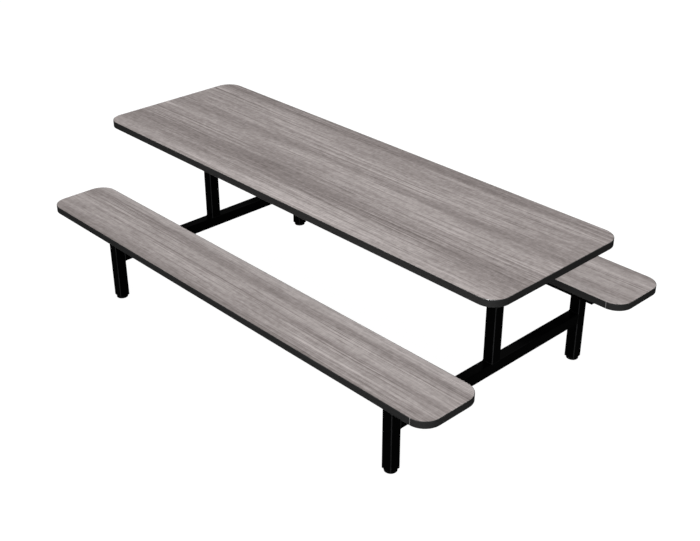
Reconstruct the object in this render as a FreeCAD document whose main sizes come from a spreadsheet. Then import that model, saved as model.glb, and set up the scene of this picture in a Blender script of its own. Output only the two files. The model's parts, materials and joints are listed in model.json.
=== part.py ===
import FreeCAD, Part
import math
import os

import Sketcher

# Stationary cafeteria table with two attached benches.
#
# A laminated top and two laminated benches lie on pairs of steel rails. Cross bearers join each pair
# of rails to two welded end frames of square tube: two legs under the benches, a crossbar between the
# legs, and one post in the middle that carries the top. Every leg stands on a levelling glide.
#
# Frame: X runs along the table, Y across it, Z up. The origin is on the floor under the middle of
# the top. Left is +Y, right is -Y, front is +X and rear is -X. All lengths are in millimetres.

Vector = FreeCAD.Vector

doc = FreeCAD.newDocument("bench_table")

# ---------------------------------------------------------------- driving dimensions

DIMENSIONS = [
    # overall
    ("table_height", 779.0, "floor to the tabletop's surface"),
    ("seat_height", 442.3, "floor to a bench's surface"),
    ("seat_length", 2438.4, "bench, over its edge band"),
    ("seat_width", 304.8, "bench, over its edge band"),
    ("top_inset", 11.1, "from a bench's end in to the tabletop's end"),
    ("top_width", 752.5, "tabletop, over its edge band"),
    ("leg_spacing", 1143.0, "between the two legs of an end frame, and so between the benches"),
    ("frame_inset", 304.8, "from a bench's end in to the middle of the end frame"),
    # panels
    ("panel_corner_radius", 76.2, "rounded corners of the top and the benches, outside the band"),
    ("core_thickness", 28.6, "board core"),
    ("laminate_thickness", 1.2, "sheet on the upper face"),
    ("backer_thickness", 0.9, "sheet on the lower face"),
    ("band_thickness", 2.0, "edge band"),
    ("band_round", 1.2, "rounding along the band's two outer edges"),
    ("band_joint_width", 3.0, "filled joint where a bench's band starts and ends"),
    ("band_joint_offset", 3.7, "from the start of a corner's arc on to the middle of that joint"),
    # frame tube
    ("tube_size", 50.8, "legs, crossbars and posts: outside width"),
    ("tube_wall", 2.1, "legs, crossbars and posts: wall"),
    ("tube_round", 3.8, "legs, crossbars and posts: outside corner radius"),
    ("crossbar_top", 243.3, "floor to the crossbar's upper face"),
    # rails and bearers
    ("rail_size", 25.4, "rails: outside width, and the height of the bearers"),
    ("rail_wall", 1.65, "rails and bearers: wall"),
    ("rail_round", 2.8, "rails and bearers: outside corner radius"),
    ("rail_inset", 154.2, "from a bench's end in to the ends of all rails, without their plugs"),
    ("inner_rail_setback", 20.0, "from a bench's inner long edge to the rail under it"),
    ("outer_rail_setback", 45.0, "from a bench's outer long edge to the rail under it"),
    ("top_rail_setback", 109.55, "from the tabletop's long edges to the rails under it"),
    ("plug_flange", 2.4, "rail end plug: thickness of its flange"),
    ("plug_depth", 14.0, "rail end plug: reach into the rail"),
    ("plug_clearance", 0.15, "between a plug and the tube around it"),
    # fixings between rails and panels
    ("screw_diameter", 6.35, "machine screw, over its thread"),
    ("screw_reach", 11.8, "machine screw: how far it goes into its insert"),
    ("screw_head_diameter", 12.7, "washer head"),
    ("screw_head_height", 3.6, "washer head"),
    ("screw_clearance", 0.4, "radial, between a screw and its holes in the rail"),
    ("insert_diameter", 11.0, "threaded insert in the core, outside"),
    ("insert_length", 12.7, "threaded insert in the core"),
    ("insert_clearance", 0.05, "radial, around an insert and between its thread and the screw"),
    ("insert_hole_reserve", 3.3, "blind hole in the core, beyond the end of the insert"),
    ("screw_end_margin", 70.0, "from a rail's end to its first screw"),
    # levelling glides
    ("leg_clearance", 10.9, "floor to the underside of the leg's insert"),
    ("foot_flange", 2.5, "leg insert: thickness of its flange"),
    ("foot_plug_depth", 24.0, "leg insert: reach into the leg"),
    ("bush_diameter", 24.0, "leg insert: steel bush around the thread"),
    ("stud_diameter", 9.525, "levelling stud, over its thread"),
    ("thread_clearance", 0.05, "radial, between the stud and its bush"),
    ("glide_travel", 19.05, "how far a foot screws down from its lowest setting"),
    ("stud_reserve", 7.6, "shank that stands above the bush when the foot is screwed right down"),
    ("hex_flats", 17.46, "levelling stud: hexagon across its flats"),
    ("hex_height", 5.6, "levelling stud: hexagon"),
    ("hex_clearance", 0.8, "around the hexagon in the leg insert"),
    ("glide_diameter", 54.0, "foot disc"),
    ("glide_height", 10.0, "foot disc"),
    ("glide_round", 1.6, "foot disc: rounding of its two rims"),
    ("glide_recess", 4.4, "foot disc: depth of the recess under it"),
    ("neck_diameter", 9.0, "levelling stud: neck that turns in the disc"),
    ("rivet_diameter", 14.0, "levelling stud: riveted end under the disc's web"),
    ("rivet_height", 2.2, "levelling stud: riveted end under the disc's web"),
    ("rivet_clearance", 0.4, "radial, between the riveted end and the recess around it"),
    ("swivel_clearance", 0.1, "between the stud and the disc that turns on it"),
]

TOP_SCREWS_PER_RAIL = 5
SEAT_SCREWS_PER_RAIL = 4

# Two lengths are the same where they differ by less than this.
TOLERANCE = 1e-6

sheet = doc.addObject("Spreadsheet::Sheet", "dims")
for row, (alias, value, meaning) in enumerate(DIMENSIONS, start=1):
    sheet.set(f"A{row}", meaning)
    sheet.set(f"B{row}", str(value))
    sheet.setAlias(f"B{row}", alias)
doc.recompute()

# Derived sizes that several sub-parts share, as expressions in the sheet's words.
PANEL = "(dims.core_thickness + dims.laminate_thickness + dims.backer_thickness)"
TOP_UNDERSIDE = f"(dims.table_height - {PANEL})"
SEAT_UNDERSIDE = f"(dims.seat_height - {PANEL})"
TOP_RAIL_BOTTOM = f"({TOP_UNDERSIDE} - dims.rail_size)"
SEAT_RAIL_BOTTOM = f"({SEAT_UNDERSIDE} - dims.rail_size)"
INNER_RAIL_OFFSET = "(dims.seat_width / 2 - dims.inner_rail_setback - dims.rail_size / 2)"
OUTER_RAIL_OFFSET = "(dims.seat_width / 2 - dims.outer_rail_setback - dims.rail_size / 2)"
TOP_RAIL_OFFSET = "(dims.top_width / 2 - dims.top_rail_setback - dims.rail_size / 2)"
SCREW_LENGTH = "(dims.rail_size + dims.backer_thickness + dims.screw_reach)"
LEG_Y = "(dims.leg_spacing / 2)"
TOP_LENGTH = "(dims.seat_length - 2 * dims.top_inset)"
FRAME_X = "(dims.seat_length / 2 - dims.frame_inset)"
RAIL_LENGTH = "(dims.seat_length - 2 * dims.rail_inset)"
TUBE_BOTTOM = "(dims.leg_clearance + dims.foot_flange)"
INSERT_TOP = f"({TUBE_BOTTOM} + dims.foot_plug_depth)"
STUD_TOP = f"({INSERT_TOP} + dims.glide_travel + dims.stud_reserve)"
CORE_CORNER = "(dims.panel_corner_radius - dims.band_thickness)"
TUBE_BORE = "(dims.tube_size - 2 * dims.tube_wall)"
TUBE_BORE_ROUND = "(dims.tube_round - dims.tube_wall)"
RAIL_BORE = "(dims.rail_size - 2 * dims.rail_wall)"
RAIL_BORE_ROUND = "(dims.rail_round - dims.rail_wall)"
HEX_CORNERS = f"(dims.hex_flats / {math.cos(math.pi / 6):.9f})"

ENDS = {"front": 1, "rear": -1}
SIDES = {"left": 1, "right": -1}

sub_parts = []


def size(expression):
    """The present value of an expression in the sheet's words."""
    return float(sheet.evalExpression(str(expression)))


# ---------------------------------------------------------------- helpers


def new_body(label, x="0", y="0", z="0"):
    """A sub-part at a place that follows the sheet."""
    body = doc.addObject("PartDesign::Body", label)
    body.Label = label
    for axis, place in zip("xyz", (x, y, z)):
        body.setExpression(f"Placement.Base.{axis}", str(place))
    sub_parts.append(body)
    return body


def new_sketch(body, name, plane, offset="0"):
    """A sketch on one of the body's own origin planes, moved along the plane's normal."""
    sketch = body.newObject("Sketcher::SketchObject", name)
    support = [item for item in body.Origin.OriginFeatures if item.Role == plane][0]
    sketch.AttachmentSupport = [(support, "")]
    sketch.MapMode = "FlatFace"
    sketch.setExpression("AttachmentOffset.Base.z", str(offset))
    return sketch


def bind(sketch, name, kind, geometry, value, position=None):
    """One named sketch dimension that follows an expression."""
    arguments = [kind, geometry] if position is None else [kind, geometry, position]
    index = sketch.addConstraint(Sketcher.Constraint(*arguments, size(value)))
    sketch.renameConstraint(index, name)
    sketch.setExpression(f"Constraints.{name}", str(value))


def add_circle(sketch, name, radius, x="0", y="0"):
    """A circle whose centre and radius follow expressions."""
    centre = Vector(size(x), size(y), 0)
    circle = sketch.addGeometry(Part.Circle(centre, Vector(0, 0, 1), size(radius)), False)
    bind(sketch, f"{name}_x", "DistanceX", circle, x, 3)
    bind(sketch, f"{name}_y", "DistanceY", circle, y, 3)
    bind(sketch, f"{name}_radius", "Radius", circle, radius)


def add_rounded_rectangle(sketch, name, width, depth, radius, x="0", y="0"):
    """A rectangle with four equal round corners about the point x, y."""
    corners = []
    quarter = math.pi / 2
    for index, (sign_x, sign_y) in enumerate(((1, 1), (-1, 1), (-1, -1), (1, -1))):
        centre_x = f"({x}) + {sign_x} * (({width}) / 2 - ({radius}))"
        centre_y = f"({y}) + {sign_y} * (({depth}) / 2 - ({radius}))"
        circle = Part.Circle(Vector(size(centre_x), size(centre_y), 0), Vector(0, 0, 1), size(radius))
        arc = sketch.addGeometry(Part.ArcOfCircle(circle, index * quarter, (index + 1) * quarter), False)
        bind(sketch, f"{name}_x{index}", "DistanceX", arc, centre_x, 3)
        bind(sketch, f"{name}_y{index}", "DistanceY", arc, centre_y, 3)
        bind(sketch, f"{name}_radius{index}", "Radius", arc, radius)
        corners.append(arc)
    for arc, following in zip(corners, corners[1:] + corners[:1]):
        start = sketch.Geometry[arc].EndPoint
        end = sketch.Geometry[following].StartPoint
        line = sketch.addGeometry(Part.LineSegment(start, end), False)
        sketch.addConstraint(Sketcher.Constraint("Tangent", arc, 2, line, 1))
        sketch.addConstraint(Sketcher.Constraint("Tangent", line, 2, following, 1))


def add_hexagon(sketch, name, flats):
    """A regular hexagon about the origin, with one corner on the sketch's X axis."""
    corner = f"({flats}) / {2 * math.cos(math.pi / 6):.9f}"
    reach = size(corner)
    points = [Vector(reach * math.cos(k * math.pi / 3), reach * math.sin(k * math.pi / 3), 0) for k in range(6)]
    lines = [sketch.addGeometry(Part.LineSegment(points[k], points[(k + 1) % 6]), False) for k in range(6)]
    for k in range(6):
        sketch.addConstraint(Sketcher.Constraint("Coincident", lines[k], 2, lines[(k + 1) % 6], 1))
        corner_x = f"({corner}) * {math.cos(k * math.pi / 3):.9f}"
        corner_y = f"({corner}) * {math.sin(k * math.pi / 3):.9f}"
        bind(sketch, f"{name}_x{k}", "DistanceX", lines[k], corner_x, 1)
        bind(sketch, f"{name}_y{k}", "DistanceY", lines[k], corner_y, 1)


def add_rectangle(sketch, name, width, depth, x="0", y="0"):
    """A rectangle with sharp corners about the point x, y."""
    corners = []
    for sign_x, sign_y in ((1, 1), (-1, 1), (-1, -1), (1, -1)):
        corner_x = f"({x}) + {sign_x} * ({width}) / 2"
        corner_y = f"({y}) + {sign_y} * ({depth}) / 2"
        corners.append((corner_x, corner_y))
    points = [Vector(size(corner_x), size(corner_y), 0) for corner_x, corner_y in corners]
    lines = [sketch.addGeometry(Part.LineSegment(points[k], points[(k + 1) % 4]), False) for k in range(4)]
    for k, (corner_x, corner_y) in enumerate(corners):
        sketch.addConstraint(Sketcher.Constraint("Coincident", lines[k], 2, lines[(k + 1) % 4], 1))
        bind(sketch, f"{name}_x{k}", "DistanceX", lines[k], corner_x, 1)
        bind(sketch, f"{name}_y{k}", "DistanceY", lines[k], corner_y, 1)


def pad(body, sketch, name, length, symmetric=False, reverse=False):
    """Material over a sketch: up its normal, down it, or half each way."""
    feature = body.newObject("PartDesign::Pad", name)
    feature.Profile = sketch
    feature.setExpression("Length", str(length))
    feature.SideType = "Symmetric" if symmetric else "One side"
    feature.Reversed = reverse
    return feature


def pocket(body, sketch, name, depth, reverse=False):
    """A cut over a sketch: down its normal, or up it when reversed. It has to take something away."""
    doc.recompute()
    before = body.Shape.Volume
    feature = body.newObject("PartDesign::Pocket", name)
    feature.Profile = sketch
    feature.setExpression("Length", str(depth))
    feature.Reversed = reverse
    doc.recompute()
    if body.Shape.Volume >= before:
        raise RuntimeError(f"{body.Label}: {name} cuts nothing")
    return feature


def fillet(body, base, name, radius, wanted):
    """A round on the edges of the last feature for which wanted(edge) is true."""
    doc.recompute()
    edges = [f"Edge{i}" for i, edge in enumerate(base.Shape.Edges, start=1) if wanted(edge)]
    feature = body.newObject("PartDesign::Fillet", name)
    feature.Base = (base, edges)
    feature.setExpression("Radius", str(radius))
    return feature


def tube(label, length, width, depth, wall, corner, plane, x="0", y="0", z="0", symmetric=False):
    """A straight rectangular tube with round corners, along the normal of a plane."""
    body = new_body(label, x, y, z)
    profile = new_sketch(body, f"{label}_profile", plane)
    add_rounded_rectangle(profile, "outside", width, depth, corner)
    bore_width = f"({width}) - 2 * ({wall})"
    bore_depth = f"({depth}) - 2 * ({wall})"
    add_rounded_rectangle(profile, "inside", bore_width, bore_depth, f"({corner}) - ({wall})")
    pad(body, profile, f"{label}_wall", length, symmetric)
    return body


def screw_places(count):
    """Distances along a rail at which it is screwed to its panel."""
    reach = f"({RAIL_LENGTH} / 2 - dims.screw_end_margin)"
    return [f"{reach} * {2 * index / (count - 1) - 1:.9f}" for index in range(count)]


# ---------------------------------------------------------------- panels


def make_panel(name, length, width, height, y, rails, screws_per_rail, joint):
    """Core, laminate, backer and edge band of the top or of a bench, with its inserts and screws.

    rails holds the distances from the panel's middle to the middles of the two rails under it.
    """
    core_length = f"({length}) - 2 * dims.band_thickness"
    core_width = f"({width}) - 2 * dims.band_thickness"
    underside = f"({height}) - {PANEL}"
    core_bottom = f"{underside} + dims.backer_thickness"
    places = [(x, rail) for x in screw_places(screws_per_rail) for rail in rails]

    core = new_body(f"{name}_core", y=y, z=core_bottom)
    outline = new_sketch(core, f"{name}_core_outline", "XY_Plane")
    add_rounded_rectangle(outline, "board", core_length, core_width, CORE_CORNER)
    pad(core, outline, f"{name}_core_board", "dims.core_thickness")
    holes = new_sketch(core, f"{name}_core_hole_places", "XY_Plane")
    for index, (x, side_y) in enumerate(places):
        add_circle(holes, f"hole{index}", "dims.insert_diameter / 2 + dims.insert_clearance", x, side_y)
    hole_depth = "dims.insert_length + dims.insert_hole_reserve"
    pocket(core, holes, f"{name}_core_holes", hole_depth, reverse=True)

    laminate = new_body(f"{name}_laminate", y=y, z=f"({height}) - dims.laminate_thickness")
    outline = new_sketch(laminate, f"{name}_laminate_outline", "XY_Plane")
    add_rounded_rectangle(outline, "sheet", core_length, core_width, CORE_CORNER)
    pad(laminate, outline, f"{name}_laminate_sheet", "dims.laminate_thickness")

    backer = new_body(f"{name}_backer", y=y, z=underside)
    outline = new_sketch(backer, f"{name}_backer_outline", "XY_Plane")
    add_rounded_rectangle(outline, "sheet", core_length, core_width, CORE_CORNER)
    for index, (x, side_y) in enumerate(places):
        add_circle(outline, f"hole{index}", "dims.insert_diameter / 2 + dims.insert_clearance", x, side_y)
    pad(backer, outline, f"{name}_backer_sheet", "dims.backer_thickness")

    make_edge_band(name, length, width, underside, y, joint)

    inserts = new_body(f"{name}_threaded_inserts", y=y, z=core_bottom)
    outline = new_sketch(inserts, f"{name}_insert_places", "XY_Plane")
    for index, (x, side_y) in enumerate(places):
        add_circle(outline, f"outside{index}", "dims.insert_diameter / 2", x, side_y)
        add_circle(outline, f"thread{index}", "dims.screw_diameter / 2 + dims.insert_clearance", x, side_y)
    pad(inserts, outline, f"{name}_insert_sleeves", "dims.insert_length")

    screws = new_body(f"{name}_screws", y=y, z=f"{underside} - dims.rail_size")
    shanks = new_sketch(screws, f"{name}_screw_places", "XY_Plane")
    heads = new_sketch(screws, f"{name}_screw_head_places", "XY_Plane")
    for index, (x, side_y) in enumerate(places):
        add_circle(shanks, f"shank{index}", "dims.screw_diameter / 2", x, side_y)
        add_circle(heads, f"head{index}", "dims.screw_head_diameter / 2", x, side_y)
    pad(screws, shanks, f"{name}_screw_shanks", SCREW_LENGTH)
    pad(screws, heads, f"{name}_screw_heads", "dims.screw_head_height", reverse=True)


def add_band_ring(body, name, length, width):
    """The closed ring of band round a panel, with its two outer rims rounded."""
    outline = new_sketch(body, f"{name}_outline", "XY_Plane")
    core_length = f"({length}) - 2 * dims.band_thickness"
    core_width = f"({width}) - 2 * dims.band_thickness"
    add_rounded_rectangle(outline, "outside", length, width, "dims.panel_corner_radius")
    add_rounded_rectangle(outline, "inside", core_length, core_width, CORE_CORNER)
    strip = pad(body, outline, f"{name}_strip", PANEL)
    half_length, half_width = size(length) / 2, size(width) / 2

    def is_outer_rim(edge):
        box = edge.BoundBox
        on_long_side = max(abs(box.YMin), abs(box.YMax)) > half_width - size("dims.band_thickness") / 2
        on_end = max(abs(box.XMin), abs(box.XMax)) > half_length - size("dims.band_thickness") / 2
        return box.ZLength < TOLERANCE and (on_long_side or on_end)

    fillet(body, strip, f"{name}_rim", "dims.band_round", is_outer_rim)


def make_edge_band(name, length, width, underside, y, joint):
    """The band round a panel. A bench's band is cut at its joint, and a filler of its section closes the cut."""
    band = new_body(f"{name}_edge_band", y=y, z=underside)
    add_band_ring(band, f"{name}_band", length, width)
    if not joint:
        return

    # The joint is just inside the front right corner's arc. Its box is deeper than the band, whose
    # faces curve away there.
    joint_x = f"({length}) / 2 - dims.panel_corner_radius + dims.band_joint_offset"
    joint_y = f"-({width}) / 2 + dims.band_thickness / 2"
    joint_box = ("dims.band_joint_width", "2 * dims.band_thickness", joint_x, joint_y)
    gap = new_sketch(band, f"{name}_band_gap_place", "XY_Plane")
    add_rectangle(gap, "gap", *joint_box)
    pocket(band, gap, f"{name}_band_gap", PANEL, reverse=True)

    # The filler is the same ring with everything but the joint's box cut away.
    filler = new_body(f"{name}_band_joint", y=y, z=underside)
    add_band_ring(filler, f"{name}_joint", length, width)
    rest = new_sketch(filler, f"{name}_joint_rest", "XY_Plane")
    add_rectangle(rest, "kept", *joint_box)
    beyond = "2 * dims.band_thickness"
    add_rectangle(rest, "cut", f"({length}) + {beyond}", f"({width}) + {beyond}")
    pocket(filler, rest, f"{name}_joint_ends", PANEL, reverse=True)


# ---------------------------------------------------------------- rails, bearers and plugs


def make_rail(label, y, underside, count):
    """A tube under a panel, drilled through for the screws."""
    body = tube(label, RAIL_LENGTH, "dims.rail_size", "dims.rail_size", "dims.rail_wall",
                "dims.rail_round", "YZ_Plane", y=y, z=f"{underside} - dims.rail_size / 2", symmetric=True)
    holes = new_sketch(body, f"{label}_hole_places", "XY_Plane", "-dims.rail_size / 2")
    for index, x in enumerate(screw_places(count)):
        add_circle(holes, f"hole{index}", "dims.screw_diameter / 2 + dims.screw_clearance", x)
    pocket(body, holes, f"{label}_holes", "dims.rail_size", reverse=True)


def make_rail_plugs(label, y, underside, rails):
    """The four plugs in the ends of a pair of rails, which stand at the distances in rails from y."""
    body = new_body(label, y=y, z=f"{underside} - dims.rail_size / 2")
    flange_place = new_sketch(body, f"{label}_flange_places", "YZ_Plane", f"{RAIL_LENGTH} / 2")
    body_place = new_sketch(body, f"{label}_body_places", "YZ_Plane", f"{RAIL_LENGTH} / 2")
    plug = f"({RAIL_BORE} - 2 * dims.plug_clearance)"
    for index, across in enumerate(rails):
        name = f"plug{index}"
        add_rounded_rectangle(flange_place, name, "dims.rail_size", "dims.rail_size", "dims.rail_round", across)
        add_rounded_rectangle(body_place, name, plug, plug, RAIL_BORE_ROUND, across)
    flanges = pad(body, flange_place, f"{label}_flanges", "dims.plug_flange")
    bodies = pad(body, body_place, f"{label}_bodies", "dims.plug_depth", reverse=True)
    doc.recompute()
    mirror = body.newObject("PartDesign::Mirrored", f"{label}_rear_end")
    mirror.Originals = [flanges, bodies]
    plane = [item for item in body.Origin.OriginFeatures if item.Role == "YZ_Plane"][0]
    mirror.MirrorPlane = (plane, [""])
    body.Tip = mirror


def make_bearer(label, x, y, underside, length):
    """A flat tube across the table between two rails, with its upper face against the panel."""
    tube(label, length, "dims.tube_size", "dims.rail_size", "dims.rail_wall", "dims.rail_round",
         "XZ_Plane", x=x, y=y, z=f"{underside} - dims.rail_size / 2", symmetric=True)


# ---------------------------------------------------------------- end frames and glides


def make_square_tube(label, length, plane, x, y, z, symmetric=False):
    """A length of the frame's square tube."""
    return tube(label, length, "dims.tube_size", "dims.tube_size", "dims.tube_wall", "dims.tube_round",
                plane, x=x, y=y, z=z, symmetric=symmetric)


def make_end_frame(end, direction):
    """Two legs, the crossbar between them and the post on its middle."""
    x = f"{direction} * {FRAME_X}"
    for side, sign in SIDES.items():
        make_square_tube(f"{end}_{side}_leg", f"{SEAT_RAIL_BOTTOM} - {TUBE_BOTTOM}", "XY_Plane",
                         x, f"{sign} * {LEG_Y}", TUBE_BOTTOM)
    make_square_tube(f"{end}_crossbar", "dims.leg_spacing - dims.tube_size", "XZ_Plane",
                     x, "0", "dims.crossbar_top - dims.tube_size / 2", symmetric=True)
    make_square_tube(f"{end}_center_post", f"{TOP_RAIL_BOTTOM} - dims.crossbar_top", "XY_Plane",
                     x, "0", "dims.crossbar_top")


def make_leg_insert(label, x, y):
    """Plug in the leg's lower end: a flange, a body in the tube and a pocket for the hexagon."""
    body = new_body(label, x, y, "dims.leg_clearance")
    flange_outline = new_sketch(body, f"{label}_flange_outline", "XY_Plane")
    add_rounded_rectangle(flange_outline, "flange", "dims.tube_size", "dims.tube_size", "dims.tube_round")
    pad(body, flange_outline, f"{label}_flange", "dims.foot_flange")
    plug_outline = new_sketch(body, f"{label}_plug_outline", "XY_Plane", "dims.foot_flange")
    plug = f"({TUBE_BORE} - 2 * dims.plug_clearance)"
    add_rounded_rectangle(plug_outline, "plug", plug, plug, TUBE_BORE_ROUND)
    pad(body, plug_outline, f"{label}_plug", "dims.foot_plug_depth")
    bush_place = new_sketch(body, f"{label}_bush_place", "XY_Plane")
    add_circle(bush_place, "bush", "dims.bush_diameter / 2")
    pocket(body, bush_place, f"{label}_bush_seat", "dims.foot_flange + dims.foot_plug_depth", reverse=True)


def make_threaded_bush(label, x, y):
    """Steel bush in the leg insert: threaded above, opened out below for the hexagon."""
    body = new_body(label, x, y, "dims.leg_clearance")
    outline = new_sketch(body, f"{label}_outline", "XY_Plane")
    add_circle(outline, "outside", "dims.bush_diameter / 2")
    add_circle(outline, "thread", "dims.stud_diameter / 2 + dims.thread_clearance")
    pad(body, outline, f"{label}_sleeve", "dims.foot_flange + dims.foot_plug_depth")
    mouth = new_sketch(body, f"{label}_mouth_outline", "XY_Plane")
    add_circle(mouth, "mouth", f"{HEX_CORNERS} / 2 + dims.hex_clearance")
    rise = "dims.glide_height + dims.swivel_clearance + dims.hex_height + dims.hex_clearance"
    pocket(body, mouth, f"{label}_mouth", f"{rise} - dims.leg_clearance", reverse=True)


def make_glide_disc(label, x, y):
    """The foot disc: a web that the stud stands on, with a recess under it for the riveted end."""
    body = new_body(label, x, y)
    outline = new_sketch(body, f"{label}_outline", "XY_Plane")
    add_circle(outline, "rim", "dims.glide_diameter / 2")
    add_circle(outline, "hole", "dims.neck_diameter / 2 + dims.swivel_clearance")
    disc = pad(body, outline, f"{label}_disc", "dims.glide_height")
    rim_radius = size("dims.glide_diameter / 2")

    def is_rim(edge):
        return edge.BoundBox.ZLength < TOLERANCE and edge.BoundBox.XMax > rim_radius - TOLERANCE

    fillet(body, disc, f"{label}_rims", "dims.glide_round", is_rim)
    doc.recompute()
    recess = new_sketch(body, f"{label}_recess_outline", "XY_Plane")
    add_circle(recess, "recess", "dims.rivet_diameter / 2 + dims.rivet_clearance")
    pocket(body, recess, f"{label}_recess", "dims.glide_recess", reverse=True)


def make_levelling_stud(label, x, y):
    """Riveted end, neck in the disc, hexagon on the disc, and the threaded shank in the leg."""
    body = new_body(label, x, y)
    rivet_top = "(dims.glide_recess - dims.swivel_clearance)"
    neck = new_sketch(body, f"{label}_neck_outline", "XY_Plane", f"{rivet_top} - dims.rivet_height")
    add_circle(neck, "neck", "dims.neck_diameter / 2")
    hex_bottom = "(dims.glide_height + dims.swivel_clearance)"
    pad(body, neck, f"{label}_neck", f"{hex_bottom} - {rivet_top} + dims.rivet_height")
    rivet = new_sketch(body, f"{label}_rivet_outline", "XY_Plane", f"{rivet_top} - dims.rivet_height")
    add_circle(rivet, "rivet", "dims.rivet_diameter / 2")
    pad(body, rivet, f"{label}_rivet", "dims.rivet_height")
    hexagon = new_sketch(body, f"{label}_hexagon_outline", "XY_Plane", hex_bottom)
    add_hexagon(hexagon, "hexagon", "dims.hex_flats")
    pad(body, hexagon, f"{label}_hexagon", "dims.hex_height")
    shank = new_sketch(body, f"{label}_shank_outline", "XY_Plane", f"{hex_bottom} + dims.hex_height")
    add_circle(shank, "shank", "dims.stud_diameter / 2")
    pad(body, shank, f"{label}_shank", f"{STUD_TOP} - {hex_bottom} - dims.hex_height")


# ---------------------------------------------------------------- the table

TOP_RAILS = [f"{sign} * {TOP_RAIL_OFFSET}" for sign in SIDES.values()]

make_panel("tabletop", TOP_LENGTH, "dims.top_width", "dims.table_height", "0",
           TOP_RAILS, TOP_SCREWS_PER_RAIL, joint=False)
make_rail_plugs("tabletop_rail_plugs", "0", TOP_UNDERSIDE, TOP_RAILS)
for side, sign in SIDES.items():
    make_rail(f"tabletop_{side}_rail", f"{sign} * {TOP_RAIL_OFFSET}", TOP_UNDERSIDE, TOP_SCREWS_PER_RAIL)

    bench_y = f"{sign} * {LEG_Y}"
    outer = f"{sign} * {OUTER_RAIL_OFFSET}"
    inner = f"{-sign} * {INNER_RAIL_OFFSET}"
    make_panel(f"{side}_bench", "dims.seat_length", "dims.seat_width", "dims.seat_height", bench_y,
               [outer, inner], SEAT_SCREWS_PER_RAIL, joint=True)
    make_rail(f"{side}_bench_outer_rail", f"{bench_y} + {outer}", SEAT_UNDERSIDE, SEAT_SCREWS_PER_RAIL)
    make_rail(f"{side}_bench_inner_rail", f"{bench_y} + {inner}", SEAT_UNDERSIDE, SEAT_SCREWS_PER_RAIL)
    make_rail_plugs(f"{side}_bench_rail_plugs", bench_y, SEAT_UNDERSIDE, [outer, inner])

for end, direction in ENDS.items():
    make_end_frame(end, direction)
    frame_x = f"{direction} * {FRAME_X}"
    make_bearer(f"{end}_tabletop_bearer", frame_x, "0", TOP_UNDERSIDE,
                f"2 * {TOP_RAIL_OFFSET} - dims.rail_size")
    for side, sign in SIDES.items():
        leg_y = f"{sign} * {LEG_Y}"
        # The bearer fills the room between the two rails, whose middle is off the leg's.
        bearer_y = f"{leg_y} + {sign} * ({OUTER_RAIL_OFFSET} - {INNER_RAIL_OFFSET}) / 2"
        make_bearer(f"{end}_{side}_bench_bearer", frame_x, bearer_y, SEAT_UNDERSIDE,
                    f"{OUTER_RAIL_OFFSET} + {INNER_RAIL_OFFSET} - dims.rail_size")
        make_leg_insert(f"{end}_{side}_leg_insert", frame_x, leg_y)
        make_threaded_bush(f"{end}_{side}_threaded_bush", frame_x, leg_y)
        make_glide_disc(f"{end}_{side}_glide_disc", frame_x, leg_y)
        make_levelling_stud(f"{end}_{side}_levelling_stud", frame_x, leg_y)

# ---------------------------------------------------------------- check and write

doc.recompute()
for item in doc.Objects:
    if "Invalid" in item.State or "Error" in item.State:
        raise RuntimeError(f"{item.Label} failed: {item.State}")
for body in sub_parts:
    if body.Shape.isNull() or not body.Shape.isValid():
        raise RuntimeError(f"{body.Label} has no valid shape")

os.makedirs("parts", exist_ok=True)
for body in sub_parts:
    body.Shape.exportStep(f"parts/{body.Label}.step")
    print(body.Label, len(body.Shape.Solids), "solids", round(body.Shape.Volume / 1000.0, 2), "cm3")
print(len(sub_parts), "sub-parts")
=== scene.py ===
import json
import math
import random

import bmesh
import bpy
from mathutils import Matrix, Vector


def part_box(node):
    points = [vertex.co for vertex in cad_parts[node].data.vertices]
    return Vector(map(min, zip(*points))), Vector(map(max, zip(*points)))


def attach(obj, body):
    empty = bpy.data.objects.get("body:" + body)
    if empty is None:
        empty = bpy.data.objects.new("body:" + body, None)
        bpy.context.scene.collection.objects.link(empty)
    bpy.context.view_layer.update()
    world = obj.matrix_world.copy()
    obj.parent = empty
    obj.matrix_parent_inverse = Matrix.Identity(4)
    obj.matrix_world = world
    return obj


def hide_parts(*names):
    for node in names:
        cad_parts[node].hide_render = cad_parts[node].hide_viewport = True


# Looks for the stationary bench table. Metres; +X along the table, +Y across it, +Z up, and the feet rest
# at 0. The CAD nodes keep their shape and get the materials below, except for the four levelling studs,
# which are replaced by ones with a cut thread. Weld beads are added between the tubes.

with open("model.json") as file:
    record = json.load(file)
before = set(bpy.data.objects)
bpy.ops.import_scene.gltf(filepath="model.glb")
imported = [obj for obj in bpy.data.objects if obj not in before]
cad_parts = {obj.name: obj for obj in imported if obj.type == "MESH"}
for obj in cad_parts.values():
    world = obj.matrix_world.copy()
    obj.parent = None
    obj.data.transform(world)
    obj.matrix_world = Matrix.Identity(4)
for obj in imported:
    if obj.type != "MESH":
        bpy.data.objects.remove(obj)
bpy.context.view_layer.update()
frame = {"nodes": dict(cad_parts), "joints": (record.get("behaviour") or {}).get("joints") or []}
scene = bpy.context.scene
nodes = frame["nodes"]
ENDS = ("front", "rear")
SIDES = ("left", "right")


# ---------------------------------------------------------------- material helpers


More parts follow.
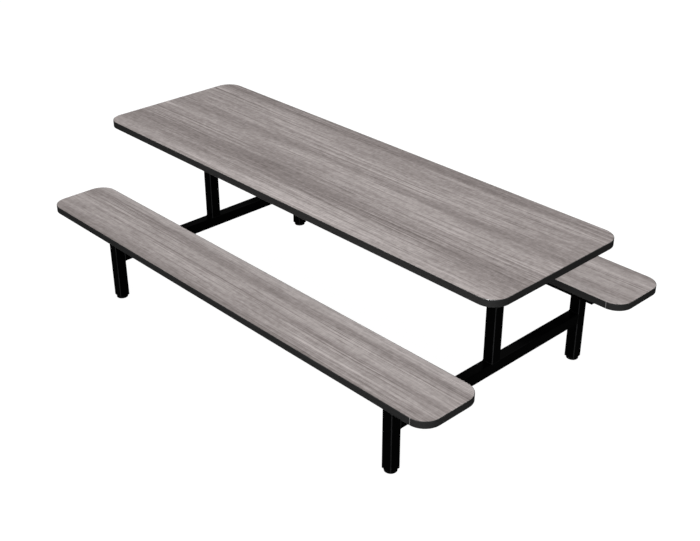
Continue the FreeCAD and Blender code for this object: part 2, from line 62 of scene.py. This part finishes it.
class Shader:
    """One Principled material, with short ways to add the nodes that drive its sockets."""

    def __init__(self, name, roughness, specular=0.5, metallic=0.0):
        self.material = bpy.data.materials.new(name)
        self.material.use_nodes = True
        self.tree = self.material.node_tree
        self.surface = self.tree.nodes["Principled BSDF"]
        self.drive("Roughness", roughness)
        self.drive("Specular IOR Level", specular)
        self.drive("Metallic", metallic)
        coordinates = self.add("ShaderNodeTexCoord")
        self.place = coordinates.outputs["Object"]
        self.facing = coordinates.outputs["Normal"]

    def add(self, kind, **settings):
        """A new node of the material, with its own settings."""
        node = self.tree.nodes.new(kind)
        for key, value in settings.items():
            setattr(node, key, value)
        return node

    def feed(self, socket, value):
        """Gives a socket a constant or the output of another node."""
        if isinstance(value, bpy.types.NodeSocket):
            self.tree.links.new(value, socket)
        else:
            socket.default_value = value

    def drive(self, name, value):
        """Feeds one of the surface's own sockets."""
        self.feed(self.surface.inputs[name], value)

    def calc(self, operation, first, second=0.0, third=0.0):
        """The result of a math operation on up to three values."""
        node = self.add("ShaderNodeMath", operation=operation)
        for socket, value in zip(node.inputs, (first, second, third)):
            self.feed(socket, value)
        return node.outputs["Value"]

    def parts(self, vector):
        """A vector's outputs, named X, Y and Z."""
        node = self.add("ShaderNodeSeparateXYZ")
        self.feed(node.inputs["Vector"], vector)
        return node.outputs

    def stretched(self, scales, place=None):
        """The place in the object, with each axis multiplied by its scale."""
        node = self.add("ShaderNodeVectorMath", operation="MULTIPLY")
        self.feed(node.inputs[0], self.place if place is None else place)
        node.inputs[1].default_value = scales
        return node.outputs["Vector"]

    def noise(self, scales, detail=2.0, rough=0.5, place=None):
        """Smooth noise from 0 to 1, with as many waves a metre along each axis as scales says."""
        node = self.add("ShaderNodeTexNoise")
        self.feed(node.inputs["Vector"], self.stretched(scales, place))
        node.inputs["Scale"].default_value = 1.0
        node.inputs["Detail"].default_value = detail
        node.inputs["Roughness"].default_value = rough
        return node.outputs["Fac"]

    def spread(self, fac, amount, middle=0.0):
        """A noise moved to middle, with amount as its full swing."""
        return self.calc("MULTIPLY_ADD", fac, amount, middle - amount / 2)

    def ramp(self, fac, stops, interpolation="LINEAR"):
        """A colour ramp with stops of (place from 0 to 1, colour)."""
        node = self.add("ShaderNodeValToRGB")
        node.color_ramp.interpolation = interpolation
        elements = node.color_ramp.elements
        while len(elements) < len(stops):
            elements.new(0.5)
        for element, (place, colour) in zip(elements, stops):
            element.position = place
            element.color = (*colour, 1.0)
        self.feed(node.inputs["Fac"], fac)
        return node.outputs["Color"]

    def bump(self, height, depth):
        """A bump whose height goes from 0 to depth, in metres."""
        node = self.add("ShaderNodeBump")
        node.inputs["Strength"].default_value = 1.0
        node.inputs["Distance"].default_value = depth
        self.feed(node.inputs["Height"], height)
        self.drive("Normal", node.outputs["Normal"])


def greys(stops):
    """The stops of a ramp from pairs of (place, grey level)."""
    return [(place, (level,) * 3) for place, level in stops]


def paint(node_names, material):
    """Puts a material on every slot of the named CAD nodes."""
    for name in node_names:
        for slot in nodes[name].material_slots:
            slot.material = material


def named(*endings):
    """The names of the CAD nodes that have one of these endings."""
    return [name for name in nodes if name.endswith(endings)]


# ---------------------------------------------------------------- laminate

# Broad bands of the wood print: (place across the panel from its -Y edge to its +Y edge, shade).
# A shade goes from 0, the darkest tone, to 1, the lightest.
TABLETOP_BANDS = (
    (0.00, 0.60), (0.07, 0.62), (0.13, 0.50), (0.20, 0.36), (0.28, 0.28), (0.35, 0.45), (0.40, 0.48),
    (0.47, 0.62), (0.53, 0.56), (0.56, 0.39), (0.63, 0.48), (0.70, 0.54), (0.80, 0.51), (0.88, 0.50),
    (0.94, 0.30), (1.00, 0.38),
)
# The bench bands are partly print and partly painted light. They rise to their lightest at each bench's inner
# edge, under the tabletop's edge, making up for the tabletop's shade there. Inner edge at place 1 here.
RIGHT_BENCH_BANDS_AND_LIGHT = (
    (0.00, 0.35), (0.08, 0.45), (0.20, 0.57), (0.32, 0.59), (0.42, 0.47), (0.52, 0.70), (0.62, 0.57),
    (0.74, 0.40), (0.80, 0.43), (0.90, 0.72), (1.00, 0.88),
)
# Inner edge at place 0 here: its lightest shades there are painted light, not print.
LEFT_BENCH_BANDS_AND_LIGHT = (
    (0.00, 0.88), (0.10, 0.68), (0.20, 0.57), (0.30, 0.48), (0.42, 0.67), (0.55, 0.61), (0.64, 0.55),
    (0.78, 0.66), (0.88, 0.64), (1.00, 0.43),
)

# Layers of the grain: (waves a metre along X, waves a metre along Y, octaves, full swing of the shade).
TABLETOP_GRAIN = (
    (1.2, 9.0, 2.0, 0.20),
    (0.9, 40.0, 4.0, 0.40),
    (6.0, 24.0, 4.0, 0.12),
    (60.0, 60.0, 2.0, 0.48),
    (14.0, 120.0, 3.0, 0.42),
    (10.0, 240.0, 2.0, 0.50),
)
BENCH_GRAIN = (
    (1.2, 9.0, 2.0, 0.10),
    (0.9, 40.0, 4.0, 0.52),
    (6.0, 24.0, 4.0, 0.04),
    (60.0, 60.0, 2.0, 0.40),
    (14.0, 120.0, 3.0, 0.40),
    (10.0, 240.0, 2.0, 0.50),
)
# How the lines of the grain stray from X: (waves a metre along X and along Y, octaves, full swing in metres).
STRAYING = (
    (0.6, 1.6, 1.0, 0.035),
    (3.0, 9.0, 3.0, 0.006),
)
# Growth rings, which darken slowly and end in a sharp edge: (rings a metre, wander in rings, swing).
GROWTH_RINGS = ((11.0, 1.3, 0.22), (45.0, 2.6, 0.34), (100.0, 4.5, 0.36))
RING_PROFILE = ((0.0, 1.0), (0.70, 0.45), (0.92, 0.0), (1.0, 0.9))
# Waves a metre of the rings' wander: along X, and along Y for each ring a metre.
RING_WANDER_ALONG = 0.5
RING_WANDER_ACROSS = 0.4
# Rings show only in patches: waves a metre along X, Y and Z, and (noise, strength of the rings).
RING_PATCH_SCALES = (1.3, 11.0, 1.0)
RING_PATCHES = ((0.42, 0.0), (0.60, 1.0))
PORE_SCALES = (22.0, 620.0, 1.0)
PORE_START = 0.64
PORE_SHADE = -0.12
PORE_DEPTH = 0.00012
# Display values from 0 to 255, in green; red lies above and blue below.
DARKEST_TONE = 100
LIGHTEST_TONE = 190
RED_ABOVE_GREEN = 8
BLUE_BELOW_GREEN = 2


def linear(value):
    """A display value from 0 to 255, in sRGB, as an amount of light from 0 to 1."""
    return ((value / 255 + 0.055) / 1.055) ** 2.4


def print_tone(green):
    """One tone of the print, from its green."""
    return tuple(linear(value) for value in (green + RED_ABOVE_GREEN, green, green - BLUE_BELOW_GREEN))


def laminate(name, node, bands, layers):
    """Grey wood print: broad bands, growth rings, streaks, mottle and pores along X, on a brushed sheet. A
    bench's broad bands also carry painted light, lightest at its inner edge.
    """
    m = Shader(name, roughness=0.5, specular=0.17)
    low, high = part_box(node)
    width = high.y - low.y
    straight = m.parts(m.place)
    across = straight["Y"]
    for along_x, along_y, octaves, swing in STRAYING:
        stray = m.noise((along_x, along_y, 1.0), detail=octaves)
        across = m.calc("ADD", across, m.spread(stray, swing))
    join = m.add("ShaderNodeCombineXYZ")
    m.feed(join.inputs["X"], straight["X"])
    m.feed(join.inputs["Y"], across)
    m.feed(join.inputs["Z"], straight["Z"])
    grain = join.outputs["Vector"]

    share = m.calc("MULTIPLY_ADD", across, 1.0 / width, -low.y / width)
    shade = m.ramp(share, greys(bands), "EASE")
    for along_x, along_y, octaves, swing in layers:
        layer = m.noise((along_x, along_y, 1.0), detail=octaves, place=grain)
        shade = m.calc("ADD", shade, m.spread(layer, swing))
    for rings, wander, swing in GROWTH_RINGS:
        wandering = m.noise((RING_WANDER_ALONG, RING_WANDER_ACROSS * rings, 1.0), detail=1.0, place=grain)
        phase = m.calc("FRACT", m.calc("MULTIPLY_ADD", across, rings, m.spread(wandering, wander)))
        profile = m.spread(m.ramp(phase, greys(RING_PROFILE)), swing)
        strength = m.ramp(m.noise(RING_PATCH_SCALES, place=grain), greys(RING_PATCHES))
        shade = m.calc("MULTIPLY_ADD", profile, strength, shade)
    pores = m.noise(PORE_SCALES, detail=1.0, place=grain)
    shade = m.calc("MULTIPLY_ADD", m.calc("GREATER_THAN", pores, PORE_START), PORE_SHADE, shade)
    middle = (DARKEST_TONE + LIGHTEST_TONE) / 2
    tones = [(0.0, print_tone(DARKEST_TONE)), (0.5, print_tone(middle)), (1.0, print_tone(LIGHTEST_TONE))]
    m.drive("Base Color", m.ramp(shade, tones))
    m.drive("Roughness", m.spread(pores, amount=0.16, middle=0.5))
    m.bump(pores, depth=PORE_DEPTH)
    return m.material


for panel, bands, layers in (
    ("tabletop", TABLETOP_BANDS, TABLETOP_GRAIN),
    ("right_bench", RIGHT_BENCH_BANDS_AND_LIGHT, BENCH_GRAIN),
    ("left_bench", LEFT_BENCH_BANDS_AND_LIGHT, BENCH_GRAIN),
):
    paint([f"{panel}_laminate"], laminate(f"{panel}_print", f"{panel}_laminate", bands, layers))


# ---------------------------------------------------------------- other materials

# Gloss of a buffed rim: (how far its face turns up or down, from 0 to 1, gloss).
BUFFED_TILTS = ((0.08, 0.0), (0.25, 1.0), (0.60, 1.0), (0.85, 0.0))
BUFFED_ROUGHNESS = 0.33
# More than real vinyl has: the rim is too narrow in the main view for its glint to show otherwise.
BUFFED_IOR = 2.5

COAT_COLOURS = ((0.3, (0.0008, 0.0008, 0.0009)), (0.7, (0.0018, 0.0018, 0.0019)))
# A pale grey for the tubes' upright edges: a painted highlight, standing for the gloss line along each
# rounded corner.
EDGE_HIGHLIGHT_COLOUR = (0.075, 0.075, 0.077, 1.0)
BOARD_COLOURS = ((0.0, (0.33, 0.22, 0.12)), (1.0, (0.62, 0.48, 0.31)))
BACKER_COLOURS = ((0.3, (0.016, 0.014, 0.013)), (0.7, (0.028, 0.025, 0.023)))
FILLER_COLOURS = ((0.3, (0.45, 0.44, 0.44)), (0.7, (0.55, 0.54, 0.54)))


def edge_vinyl(name, dark, light, buffed):
    """Charcoal band with a faint pebble, uneven in colour; the outer part of its rims may be buffed."""
    m = Shader(name, roughness=0.5, specular=0.2)
    cloud = m.noise((6.0, 6.0, 30.0), detail=3.0)
    m.drive("Base Color", m.ramp(cloud, greys([(0.25, dark), (0.75, light)])))
    pebble = m.noise((900.0, 900.0, 900.0), detail=2.0)
    m.drive("Roughness", m.spread(pebble, amount=0.12, middle=0.5))
    m.bump(pebble, depth=0.00001)
    if buffed:
        tilt = m.calc("ABSOLUTE", m.parts(m.facing)["Z"])
        m.drive("Coat Weight", m.ramp(tilt, greys(BUFFED_TILTS)))
        m.drive("Coat Roughness", BUFFED_ROUGHNESS)
        m.drive("Coat IOR", BUFFED_IOR)
    return m.material


def powder_coat():
    """Black powder coat with its orange peel, and a painted highlight that makes the upright edges of its
    tubes paler.
    """
    m = Shader("black_powder_coat", roughness=0.25, specular=0.15)
    cloud = m.noise((9.0, 9.0, 9.0), detail=3.0)
    facing = m.parts(m.facing)
    # The product is 0 on a flat face and a half in the middle of a rounded upright edge.
    upright_edge = m.calc("ABSOLUTE", m.calc("MULTIPLY", facing["X"], facing["Y"]))
    # The painted highlight: upright edges mixed towards the pale grey, unevenly along them.
    painted_edge_highlight = m.calc("MULTIPLY", m.calc("MULTIPLY", upright_edge, 2.0), m.noise((25.0, 25.0, 7.0), detail=2.0))
    mix = m.add("ShaderNodeMix", data_type="RGBA")
    m.feed(mix.inputs["Factor"], painted_edge_highlight)
    m.feed(mix.inputs["A"], m.ramp(cloud, COAT_COLOURS))
    m.feed(mix.inputs["B"], EDGE_HIGHLIGHT_COLOUR)
    m.drive("Base Color", mix.outputs["Result"])
    peel = m.noise((320.0, 320.0, 320.0), detail=2.0)
    m.drive("Roughness", m.spread(cloud, amount=0.08, middle=0.25))
    m.bump(peel, depth=0.00004)
    return m.material


def moulded(name, colour, roughness):
    """Black moulded plastic with a fine spark texture."""
    m = Shader(name, roughness=roughness, specular=0.2)
    cloud = m.noise((60.0, 60.0, 60.0), detail=2.0)
    lighter = tuple(1.5 * part for part in colour)
    m.drive("Base Color", m.ramp(cloud, [(0.3, colour), (0.7, lighter)]))
    spark = m.noise((1500.0, 1500.0, 1500.0), detail=1.0)
    m.drive("Roughness", m.spread(spark, amount=0.15, middle=roughness))
    m.bump(spark, depth=0.00004)
    return m.material


def plated(name, colour, roughness):
    """Bright metal with fine turning marks and small clouds in its plating."""
    m = Shader(name, roughness=roughness, metallic=1.0)
    cloud = m.noise((140.0, 140.0, 140.0), detail=3.0)
    darker = tuple(0.7 * part for part in colour)
    m.drive("Base Color", m.ramp(cloud, [(0.25, darker), (0.75, colour)]))
    marks = m.noise((300.0, 300.0, 2600.0), detail=1.0)
    m.drive("Roughness", m.spread(marks, amount=0.2, middle=roughness))
    m.bump(marks, depth=0.00003)
    return m.material


def board():
    """Particle board: pale chips of mixed sizes."""
    m = Shader("particle_board", roughness=0.85, specular=0.2)
    chips = m.add("ShaderNodeTexVoronoi")
    m.feed(chips.inputs["Vector"], m.stretched((260.0, 420.0, 420.0)))
    chips.inputs["Scale"].default_value = 1.0
    tone = m.add("ShaderNodeSeparateColor")
    m.feed(tone.inputs["Color"], chips.outputs["Color"])
    m.drive("Base Color", m.ramp(tone.outputs["Red"], BOARD_COLOURS))
    m.bump(chips.outputs["Distance"], depth=0.0002)
    return m.material


def backer_sheet():
    """Dark phenolic backer with the sanding lines of its making."""
    m = Shader("backer_sheet", roughness=0.6, specular=0.3)
    lines = m.noise((3.0, 260.0, 3.0), detail=2.0)
    m.drive("Base Color", m.ramp(lines, BACKER_COLOURS))
    m.drive("Roughness", m.spread(lines, amount=0.2, middle=0.6))
    m.bump(lines, depth=0.00008)
    return m.material


def joint_filler():
    """Pale grey filler in the cut of a bench's band."""
    m = Shader("joint_filler", roughness=0.55, specular=0.3)
    cloud = m.noise((500.0, 500.0, 160.0), detail=2.0)
    m.drive("Base Color", m.ramp(cloud, FILLER_COLOURS))
    m.bump(cloud, depth=0.0001)
    return m.material


frame_paint = powder_coat()
paint(named("_leg", "_crossbar", "_center_post", "_bearer", "_rail"), frame_paint)
# Both bands are the same vinyl. The bench copy is set a little lighter than the tabletop's, and that
# difference is painted light that evens out how the lamps light the two.
paint(["tabletop_edge_band"], edge_vinyl("tabletop_vinyl", dark=0.039, light=0.052, buffed=True))
paint(named("_bench_edge_band"), edge_vinyl("bench_vinyl", dark=0.043, light=0.057, buffed=False))
paint(named("_band_joint"), joint_filler())
paint(named("_core"), board())
paint(named("_backer"), backer_sheet())
plug_plastic = moulded("plug_plastic", colour=(0.005, 0.005, 0.005), roughness=0.5)
paint(named("_rail_plugs", "_leg_insert"), plug_plastic)
paint(named("_glide_disc"), moulded("glide_plastic", colour=(0.004, 0.004, 0.004), roughness=0.42))
zinc = plated("zinc_plate", colour=(0.62, 0.63, 0.64), roughness=0.34)
paint(named("_screws", "_threaded_bush", "_levelling_stud"), zinc)
paint(named("_threaded_inserts"), plated("insert_brass", colour=(0.72, 0.54, 0.26), roughness=0.38))


# ---------------------------------------------------------------- mesh helpers


def join_rings(mesh, rings, closed=False):
    """Faces between each ring of corners and the next; an open row of rings gets a face at each end."""
    pairs = list(zip(rings, rings[1:]))
    if closed:
        pairs.append((rings[-1], rings[0]))
    else:
        mesh.faces.new(rings[0])
        mesh.faces.new(rings[-1])
    for ring, following in pairs:
        for side in range(len(ring)):
            after = (side + 1) % len(ring)
            mesh.faces.new((ring[side], ring[after], following[after], following[side]))


def finish_piece(name, mesh, material, body):
    """Makes an object of a mesh, smooth shaded, with its material, body and slot."""
    bmesh.ops.recalc_face_normals(mesh, faces=mesh.faces)
    for face in mesh.faces:
        face.smooth = True
    data = bpy.data.meshes.new(name)
    mesh.to_mesh(data)
    mesh.free()
    data.materials.append(material)
    piece = bpy.data.objects.new(name, data)
    scene.collection.objects.link(piece)
    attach(piece, body)
    return piece


# ---------------------------------------------------------------- weld beads

TUBE_ROUND = 0.0038
RAIL_ROUND = 0.0028
BEAD_RADIUS = 0.0027
BEAD_SIDES = 10
RIPPLE_LENGTH = 0.0021
RINGS_PER_RIPPLE = 3
RIPPLE_DEPTH = 0.16
RIPPLE_BOW = 0.0007
# Slow waves in a bead's thickness: how many, their rates in radians a ring, and their share of its radius.
WOBBLE_WAVES = 3
WOBBLE_RATES = (0.02, 0.09)
WOBBLE_SHARE = 0.04
# The first and last rings of an open bead: their share of its radius, and what each ring further in adds.
TAPER_START = 0.5
TAPER_RISE = 0.25
# How deep a bead's middle lies under the tube's face, and how far from the seam towards the welded
# tube: where one tube stands on the other's face, and where their faces are flush.
SINK_IN_CORNER, SHIFT_IN_CORNER = 0.0004, 0.0003
SINK_IN_FLUSH_SEAM, SHIFT_IN_FLUSH_SEAM = 0.0016, -0.0008

# Tube ends that are welded: (node's ending, axis of the tube, which ends, corner radius, all the way round).
# A bearer is welded along its two sides and its underside, because its upper face lies against the panel.
WELDED_ENDS = (
    ("crossbar", "y", ("low", "high"), TUBE_ROUND, True),
    ("center_post", "z", ("low", "high"), TUBE_ROUND, True),
    ("left_leg", "z", ("high",), TUBE_ROUND, True),
    ("right_leg", "z", ("high",), TUBE_ROUND, True),
    ("tabletop_bearer", "y", ("low", "high"), RAIL_ROUND, False),
    ("left_bench_bearer", "y", ("low", "high"), RAIL_ROUND, False),
    ("right_bench_bearer", "y", ("low", "high"), RAIL_ROUND, False),
)


def walk_round(half_u, half_v, radius, step, closed):
    """Points and outward directions round a rounded rectangle, about a step apart.

    A closed walk starts at the middle of the upper side; an open one leaves out that side and its corners.
    """
    quarter = math.pi / 2
    flat_u, flat_v = half_u - radius, half_v - radius
    corners = [(flat_u, flat_v), (flat_u, -flat_v), (-flat_u, -flat_v), (-flat_u, flat_v)]
    stops = [Vector(stop) for stop in ((0, flat_v), *corners, (0, flat_v))]
    stretches = []
    for turn, (start, end) in enumerate(zip(stops, stops[1:])):
        angle = quarter * (1 - turn)
        stretches.append((start, end, angle, angle, (end - start).length))
        if turn < len(corners):
            stretches.append((end, end, angle, angle - quarter, radius * quarter))
    if not closed:
        stretches = stretches[2:-2]
    stations = []
    for start, end, angle_from, angle_to, length in stretches:
        count = max(1, round(length / step))
        for index in range(count):
            share = index / count
            angle = angle_from + share * (angle_to - angle_from)
            outward = Vector((math.cos(angle), math.sin(angle)))
            stations.append((start.lerp(end, share) + radius * outward, outward))
    return stations


def make_weld(node, axis, end, corner, closed):
    """A rippled bead round the end of a tube, where it meets the tube that it is welded to."""
    low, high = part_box(node)
    middle = (low + high) / 2
    half = (high - low) / 2
    v_axis = "z" if axis == "y" else "y"
    seam = middle.copy()
    setattr(seam, axis, getattr(low if end == "low" else high, axis))
    across_u, across_v, inward = Vector((1, 0, 0)), Vector(), Vector()
    setattr(across_v, v_axis, 1.0)
    setattr(inward, axis, 1.0 if end == "low" else -1.0)
    flush = 0 if closed else 1

    step = RIPPLE_LENGTH / RINGS_PER_RIPPLE
    stations = walk_round(half.x, getattr(half, v_axis), corner, step, closed)
    chance = random.Random(node + end)
    waves = [(chance.uniform(*WOBBLE_RATES), chance.uniform(0, math.tau)) for _ in range(WOBBLE_WAVES)]
    mesh = bmesh.new()
    rings = []
    for index, (point, outward) in enumerate(stations):
        flushness = outward[flush] ** 2
        sink = SINK_IN_CORNER + flushness * (SINK_IN_FLUSH_SEAM - SINK_IN_CORNER)
        shift = SHIFT_IN_CORNER + flushness * (SHIFT_IN_FLUSH_SEAM - SHIFT_IN_CORNER)
        out = outward.x * across_u + outward.y * across_v
        travel = out.cross(inward)
        place = seam + point.x * across_u + point.y * across_v - sink * out + shift * inward
        ripple = (index % RINGS_PER_RIPPLE) / (RINGS_PER_RIPPLE - 1)
        wobble = sum(WOBBLE_SHARE * math.sin(rate * index + phase) for rate, phase in waves)
        radius = BEAD_RADIUS * (1 - RIPPLE_DEPTH * (1 - ripple) + wobble)
        if not closed:
            radius *= min(1.0, TAPER_START + TAPER_RISE * min(index, len(stations) - 1 - index))
        ring = []
        for side in range(BEAD_SIDES):
            angle = math.tau * side / BEAD_SIDES
            bow = RIPPLE_BOW * math.cos(angle - math.pi / 4)
            spoke = math.cos(angle) * out + math.sin(angle) * inward
            ring.append(mesh.verts.new(place + radius * spoke + bow * travel))
        rings.append(ring)
    join_rings(mesh, rings, closed)
    finish_piece(f"{node}_{end}_weld", mesh, frame_paint, "table")


for table_end in ENDS:
    for ending, axis, tube_ends, corner, closed in WELDED_ENDS:
        for tube_end in tube_ends:
            make_weld(f"{table_end}_{ending}", axis, tube_end, corner, closed)


# ---------------------------------------------------------------- levelling studs

STUD_RADIUS = 0.0047625
THREAD_PITCH = 0.0015875
THREAD_DEPTH = 0.00097
# Width of the thread's flat crest and of its flat root, each as a share of the pitch.
THREAD_FLAT = 0.12
RINGS_PER_PITCH = 8
STUD_SIDES = 36
HEX_FLATS = 0.01746
HEX_HEIGHT = 0.0056
HEX_CHAMFER = 0.0007
RIVET_TO_HEX = 0.0080
RIVET_RADIUS = 0.0070
RIVET_HEIGHT = 0.0022
RIVET_DOME = 0.0009
NECK_RADIUS = 0.0045


def round_of(radius):
    """The section of a round stretch: the same radius at every angle."""
    return lambda angle: radius


def hexagon_within(radius):
    """A hexagon with one corner at angle 0, cut to a circle."""
    third = math.pi / 3
    return lambda angle: min(radius, HEX_FLATS / 2 / math.cos((angle % third) - third / 2))


def thread_at(height, fade):
    """The section of the thread at a height over its start; fade is its share of the full depth."""
    def radius(angle):
        phase = (height / THREAD_PITCH - angle / math.tau) % 1.0
        from_crest = abs(phase - 0.5) * 2
        depth = min(max((from_crest - THREAD_FLAT) / (1 - 2 * THREAD_FLAT), 0.0), 1.0)
        return STUD_RADIUS - THREAD_DEPTH * (1 - fade * (1 - depth))
    return radius


def make_stud(node, body):
    """Riveted end, neck, chamfered hexagon and a cut thread, turned as one piece."""
    low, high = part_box(node)
    middle = (low + high) / 2
    hex_bottom = low.z + RIVET_TO_HEX
    hex_top = hex_bottom + HEX_HEIGHT
    corner = HEX_FLATS / math.sqrt(3)
    sections = [
        (low.z, round_of(RIVET_RADIUS - RIVET_DOME)),
        (low.z + RIVET_DOME / 2, round_of(RIVET_RADIUS - RIVET_DOME / 4)),
        (low.z + RIVET_DOME, round_of(RIVET_RADIUS)),
        (low.z + RIVET_HEIGHT, round_of(RIVET_RADIUS)),
        (low.z + RIVET_HEIGHT, round_of(NECK_RADIUS)),
        (hex_bottom, round_of(NECK_RADIUS)),
        (hex_bottom, hexagon_within(corner - 2 * HEX_CHAMFER)),
        (hex_bottom + HEX_CHAMFER, hexagon_within(corner)),
        (hex_top - HEX_CHAMFER, hexagon_within(corner)),
        (hex_top, hexagon_within(corner - 2 * HEX_CHAMFER)),
        (hex_top, round_of(STUD_RADIUS - THREAD_DEPTH)),
    ]
    step = THREAD_PITCH / RINGS_PER_PITCH
    rings_of_thread = int((high.z - hex_top) / step)
    for index in range(1, rings_of_thread):
        fade = min(1.0, index / RINGS_PER_PITCH, (rings_of_thread - index) / RINGS_PER_PITCH)
        sections.append((hex_top + index * step, thread_at(index * step, fade)))
    sections.append((high.z, round_of(STUD_RADIUS - THREAD_DEPTH)))

    mesh = bmesh.new()
    rings = []
    for height, radius_at in sections:
        ring = []
        for side in range(STUD_SIDES):
            angle = math.tau * side / STUD_SIDES
            radius = radius_at(angle)
            x = middle.x + radius * math.cos(angle)
            y = middle.y + radius * math.sin(angle)
            ring.append(mesh.verts.new((x, y, height)))
        rings.append(ring)
    join_rings(mesh, rings)
    piece = finish_piece(f"{node}_cut", mesh, zinc, body)
    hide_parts(node)


for table_end in ENDS:
    for table_side in SIDES:
        corner_name = f"{table_end}_{table_side}"
        make_stud(f"{corner_name}_levelling_stud", f"{corner_name}_stud")


# ---------------------------------------------------------------- stage, light and camera

PHOTO_WIDTH = 700
FOCAL_LENGTH_PX = 1135.7
SENSOR_WIDTH_MM = 36.0
NEAREST_SEEN = 0.05
CAMERA_PLACE = (3.3042, -3.0528, 2.7649)
CAMERA_HEADING = 46.508
CAMERA_TILT_DOWN = 28.835

WHITE = (1.0, 1.0, 1.0, 1.0)
STAGE_GREY = (0.08, 0.08, 0.08, 1.0)
STAGE_SIZE = 60.0
FLOOR_GLOW = 0.995
BACKDROP_GLOW = 1.0
DOME_FOCUS = 5.0
DOME_LIGHT = 1.1
DOME_BASE = 0.025
LIT_PLACE = (0.0, 0.0, 0.7)

camera_data = bpy.data.cameras.new("camera")
camera_data.sensor_width = SENSOR_WIDTH_MM
camera_data.lens = FOCAL_LENGTH_PX * SENSOR_WIDTH_MM / PHOTO_WIDTH
camera_data.clip_start = NEAREST_SEEN
camera = bpy.data.objects.new("camera", camera_data)
camera.location = CAMERA_PLACE
camera.rotation_euler = (math.radians(90 - CAMERA_TILT_DOWN), 0, math.radians(CAMERA_HEADING))
scene.collection.objects.link(camera)
scene.camera = camera
scene.view_settings.view_transform = "Standard"


def make_stage(name, mesh, glow):
    """A plain white surface that only the camera sees: the lamps and the dome alone light the object."""
    data = bpy.data.meshes.new(name)
    mesh.to_mesh(data)
    mesh.free()
    piece = bpy.data.objects.new(name, data)
    piece.visible_diffuse = False
    piece.visible_glossy = False
    piece.visible_shadow = False
    scene.collection.objects.link(piece)
    m = Shader(name + "_white", roughness=0.9, specular=0.0)
    m.drive("Base Color", STAGE_GREY)
    m.drive("Emission Color", WHITE)
    m.drive("Emission Strength", glow)
    data.materials.append(m.material)
    return piece


def make_floor():
    """The floor lies where the feet reach when they are screwed right down."""
    travel = max(joint["range_m"][1] for joint in frame["joints"] if joint["type"] == "slide")
    mesh = bmesh.new()
    bmesh.ops.create_grid(mesh, x_segments=8, y_segments=8, size=STAGE_SIZE)
    floor = make_stage("floor", mesh, FLOOR_GLOW)
    floor.location.z = -travel


def make_backdrop():
    """A white shell round the floor, so that low views have no horizon."""
    mesh = bmesh.new()
    bmesh.ops.create_uvsphere(mesh, u_segments=48, v_segments=24, radius=STAGE_SIZE)
    make_stage("backdrop", mesh, BACKDROP_GLOW)


def make_dome():
    """Light from above, strongest overhead, over a dim base that is the same all round and from below."""
    world = bpy.data.worlds.new("studio")
    world.use_nodes = True
    tree = world.node_tree
    direction = tree.nodes.new("ShaderNodeTexCoord")
    split = tree.nodes.new("ShaderNodeSeparateXYZ")
    tree.links.new(direction.outputs["Generated"], split.inputs["Vector"])
    strength = split.outputs["Z"]
    operations = (("MAXIMUM", 0.0), ("POWER", DOME_FOCUS), ("MULTIPLY", DOME_LIGHT), ("ADD", DOME_BASE))
    for operation, value in operations:
        step = tree.nodes.new("ShaderNodeMath")
        step.operation = operation
        tree.links.new(strength, step.inputs[0])
        step.inputs[1].default_value = value
        strength = step.outputs["Value"]
    tree.links.new(strength, tree.nodes["Background"].inputs["Strength"])
    tree.nodes["Background"].inputs["Color"].default_value = WHITE
    scene.world = world


def make_softbox(name, heading, elevation, distance, size, power, gloss_on=()):
    """A square soft light that looks at the table from a heading, counted from +X towards +Y.

    With gloss_on it lights only the gloss of those nodes, and nothing else in the scene.
    """
    data = bpy.data.lights.new(name, "AREA")
    data.shape = "SQUARE"
    data.size = size
    data.energy = power
    light = bpy.data.objects.new(name, data)
    turn, rise = math.radians(heading), math.radians(elevation)
    away = Vector((math.cos(turn) * math.cos(rise), math.sin(turn) * math.cos(rise), math.sin(rise)))
    light.location = Vector(LIT_PLACE) + distance * away
    light.rotation_euler = away.to_track_quat("Z", "Y").to_euler()
    if gloss_on:
        light.visible_diffuse = False
        receivers = bpy.data.collections.new(name + "_receivers")
        for node in gloss_on:
            receivers.objects.link(nodes[node])
        light.light_linking.receiver_collection = receivers
    scene.collection.objects.link(light)


make_floor()
make_backdrop()
make_dome()
make_softbox("overhead", heading=0, elevation=90, distance=8.0, size=3.0, power=350)
make_softbox("key", heading=-53, elevation=21, distance=12.0, size=2.8, power=470)
edge_bands = named("_edge_band")
make_softbox("glint", heading=-59, elevation=21, distance=6.0, size=1.8, power=400, gloss_on=edge_bands)
